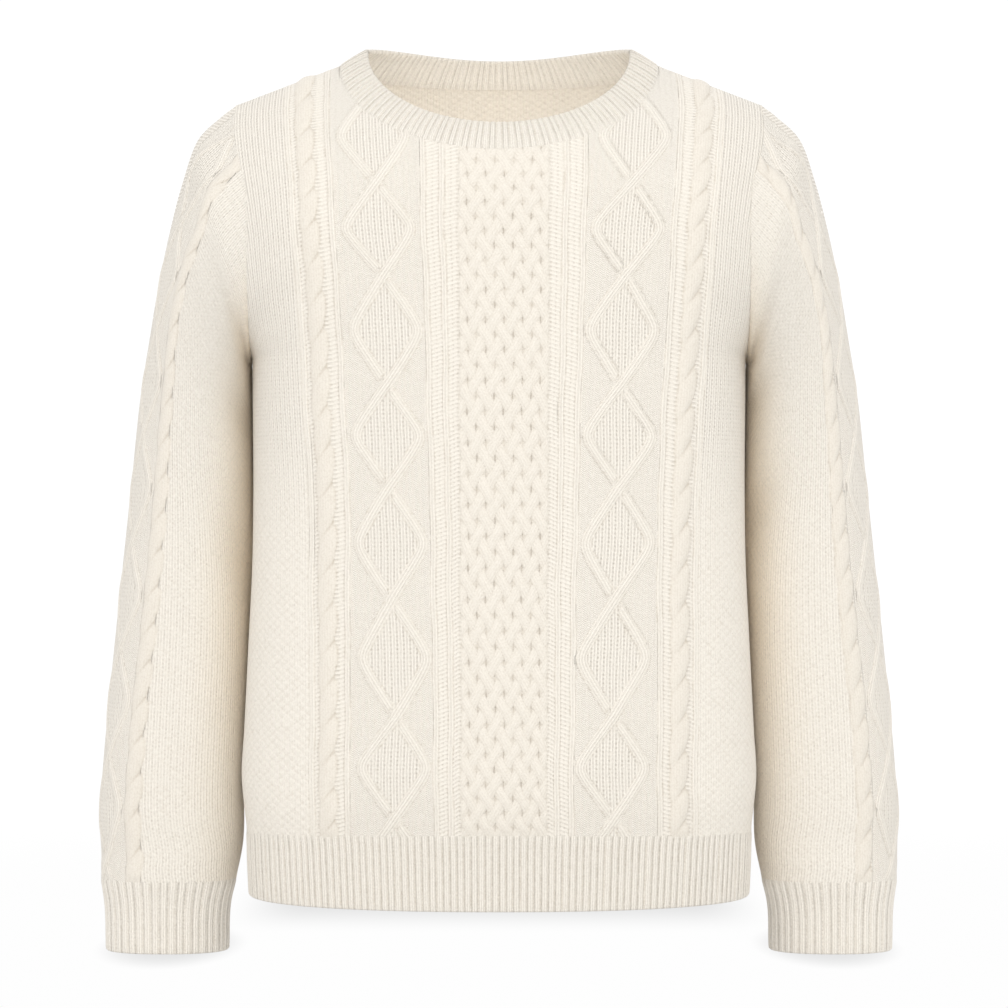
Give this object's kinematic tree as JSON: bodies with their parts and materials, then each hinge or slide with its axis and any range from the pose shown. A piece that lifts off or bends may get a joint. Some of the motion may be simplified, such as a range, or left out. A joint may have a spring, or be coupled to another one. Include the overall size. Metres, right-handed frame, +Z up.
{
  "type": "worn cable knit sweater",
  "caption": "Crew-neck cable knit sweater in its worn shape with no wearer: hollow body and long sleeves, ribbed neckband, cuffs and hem.",
  "frame": {"origin": "midway between the two ends of the neckline, level with the shoulder line there, where the wearer's shoulders carry the sweater", "axes": "+Z up, from hem to neck; -Y towards the front; +X towards the wearer's left sleeve"},
  "size_m": [0.643, 0.2322, 0.7262],
  "materials": {
    "cable_knit": "matte cream wool knit with raised cables",
    "rib_knit": "matte cream wool rib"
  },
  "bodies": {
    "root": {"front": "cable_knit", "back": "cable_knit", "sleeve_left": "cable_knit", "sleeve_right": "cable_knit", "neckband": "rib_knit", "hem_front": "rib_knit", "hem_back": "rib_knit", "cuff_left": "rib_knit", "cuff_right": "rib_knit"}
  },
  "joints": []
}
